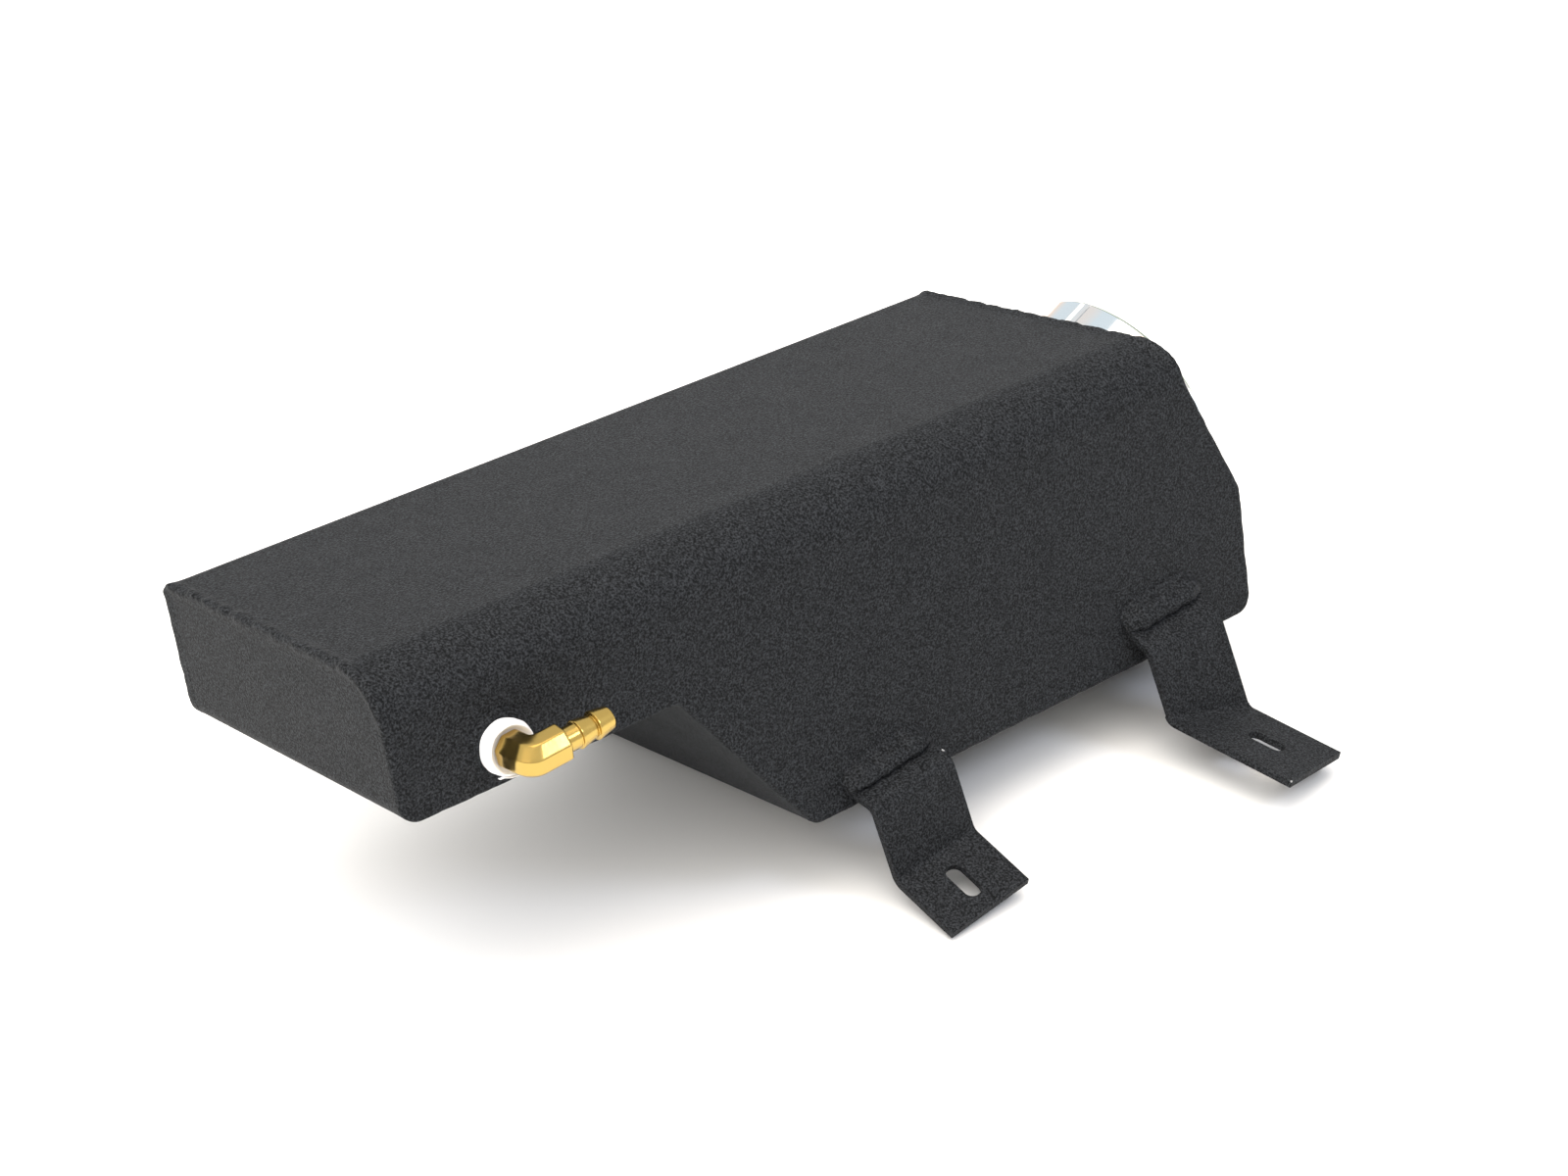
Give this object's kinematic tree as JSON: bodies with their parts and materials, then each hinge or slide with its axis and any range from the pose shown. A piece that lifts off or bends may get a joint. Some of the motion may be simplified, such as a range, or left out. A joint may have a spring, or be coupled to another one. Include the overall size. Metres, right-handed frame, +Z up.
{
  "type": "coolant expansion tank",
  "caption": "Folded and welded sheet tank with a sloping filler face and screw cap, a barbed hose elbow, and bent strap brackets with bolt slots on one side.",
  "frame": {"origin": "centre of the near bracket's bolt slot, on the underside of its foot, where it seats on the car", "axes": "+X along the tank to the filler end, +Y across it away from the brackets, +Z up out of the flat top as it lies in the picture"},
  "size_m": [0.3894, 0.2075, 0.1604],
  "materials": {
    "coat": "fine wrinkle black powder coat over aluminium",
    "cap": "turned and polished",
    "gasket": "moulded, matt",
    "tape": "bunched white thread tape",
    "brass": "polished, warm"
  },
  "bodies": {
    "tank": {"wrap_sheet": "coat", "belly_strip": "coat", "near_seam_weld": "coat", "far_seam_weld": "coat", "right_seam_weld": "coat", "left_seam_weld": "coat", "filler_neck": "coat", "filler_neck_weld": "coat", "pipe_bung": "coat", "pipe_bung_weld": "coat", "sealing_tape": "tape", "hose_elbow": "brass", "near_bracket": "coat", "near_bracket_weld": "coat", "far_bracket": "coat", "far_bracket_weld": "coat"},
    "cap_seal": {"cap_gasket": "gasket"},
    "cap": {"filler_cap": "cap"}
  },
  "joints": [
    {"name": "cap_lift", "type": "slide", "parent": "tank", "child": "cap_seal", "axis": [0.9094, 0, 0.4159], "range_m": [0, 0.0075]},
    {"name": "cap_turn", "type": "hinge", "parent": "cap_seal", "child": "cap", "pos_m": [0.16483, 0.08615, 0.10953], "axis": [0.9094, 0, 0.4159], "range_deg": [0, 1080]}
  ],
  "couplings": [
    {"joint": "cap_lift", "follows": "cap_turn", "m_per_rad": 0.0003978}
  ]
}
